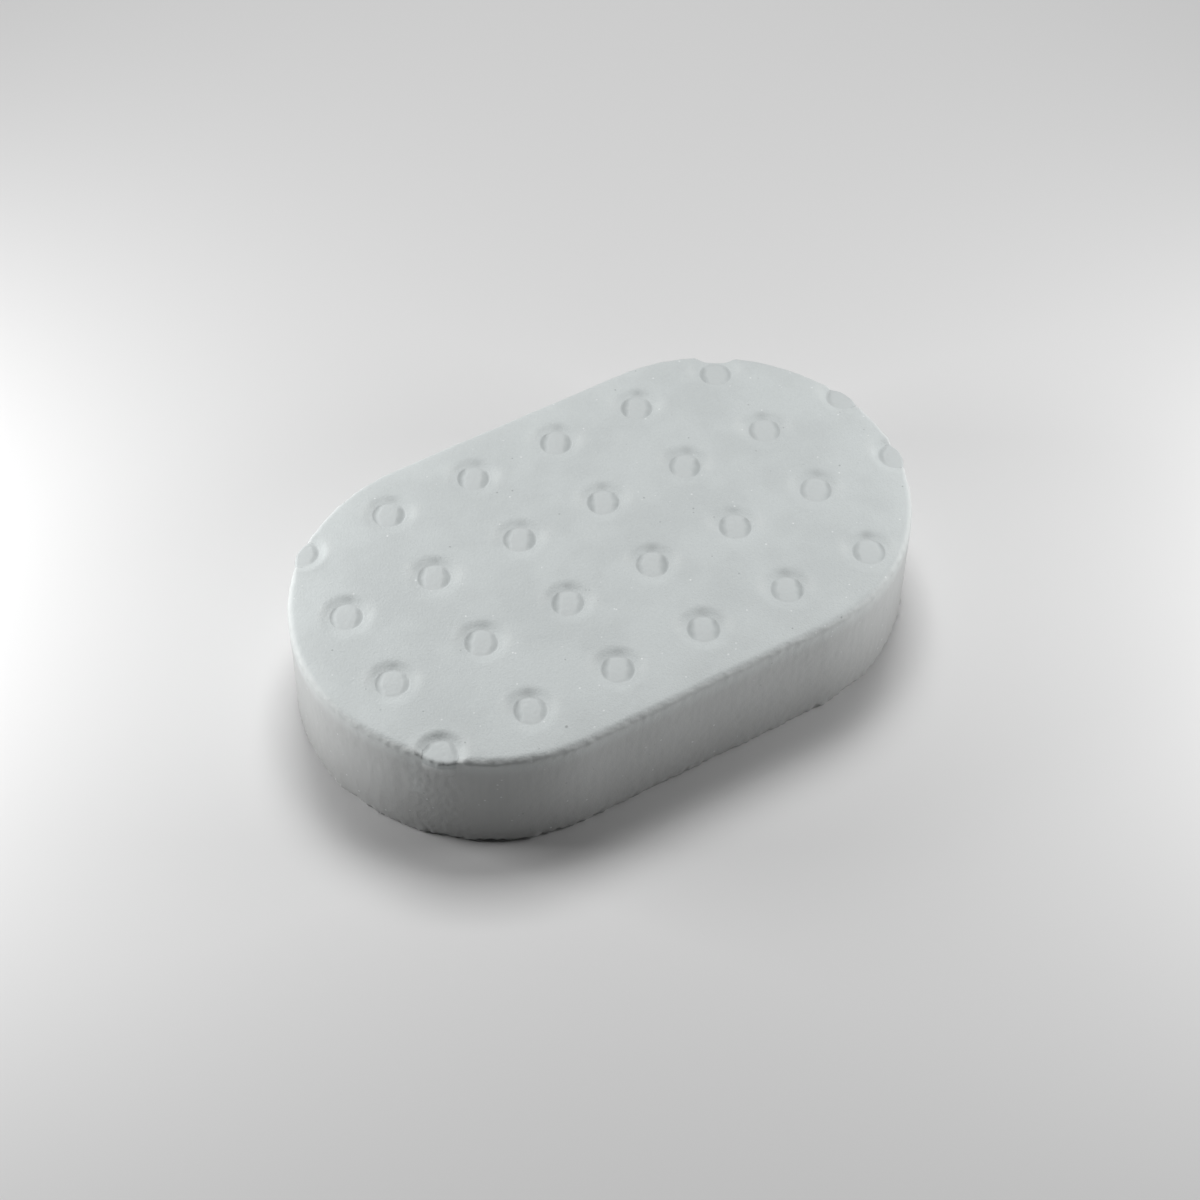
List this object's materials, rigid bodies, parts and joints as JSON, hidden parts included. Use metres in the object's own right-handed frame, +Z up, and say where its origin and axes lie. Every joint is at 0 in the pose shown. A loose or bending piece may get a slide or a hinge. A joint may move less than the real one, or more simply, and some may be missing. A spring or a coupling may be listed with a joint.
{
  "type": "foam hand buffing pad",
  "caption": "Stadium-shaped white foam block with a square grid of heat-formed pockets in its working face, held in the fingers to buff or to spread polish.",
  "frame": {"origin": "centre of the flat underside, midway along and across the pad", "axes": "+X along the pad's length, +Y across it, +Z up out of the pocketed working face"},
  "size_m": [0.108, 0.065, 0.022],
  "materials": {
    "open_cell_foam": "fine open-cell polyurethane foam, dead matt, cool white",
    "fused_foam_skin": "melted and collapsed foam, smooth with a faint sheen, cool white"
  },
  "bodies": {
    "root": {"foam_block": "open_cell_foam", "fused_disc_a2": "fused_foam_skin", "fused_disc_a3": "fused_foam_skin", "fused_disc_a4": "fused_foam_skin", "fused_disc_a5": "fused_foam_skin", "fused_disc_a6": "fused_foam_skin", "fused_disc_a7": "fused_foam_skin", "fused_disc_b1": "fused_foam_skin", "fused_disc_b2": "fused_foam_skin", "fused_disc_b3": "fused_foam_skin", "fused_disc_b4": "fused_foam_skin", "fused_disc_b5": "fused_foam_skin", "fused_disc_b6": "fused_foam_skin", "fused_disc_b7": "fused_foam_skin", "fused_disc_c1": "fused_foam_skin", "fused_disc_c2": "fused_foam_skin", "fused_disc_c3": "fused_foam_skin", "fused_disc_c4": "fused_foam_skin", "fused_disc_c5": "fused_foam_skin", "fused_disc_c6": "fused_foam_skin", "fused_disc_c7": "fused_foam_skin", "fused_disc_d2": "fused_foam_skin", "fused_disc_d3": "fused_foam_skin", "fused_disc_d4": "fused_foam_skin", "fused_disc_d5": "fused_foam_skin", "fused_disc_d6": "fused_foam_skin", "fused_disc_d7": "fused_foam_skin"}
  },
  "joints": []
}
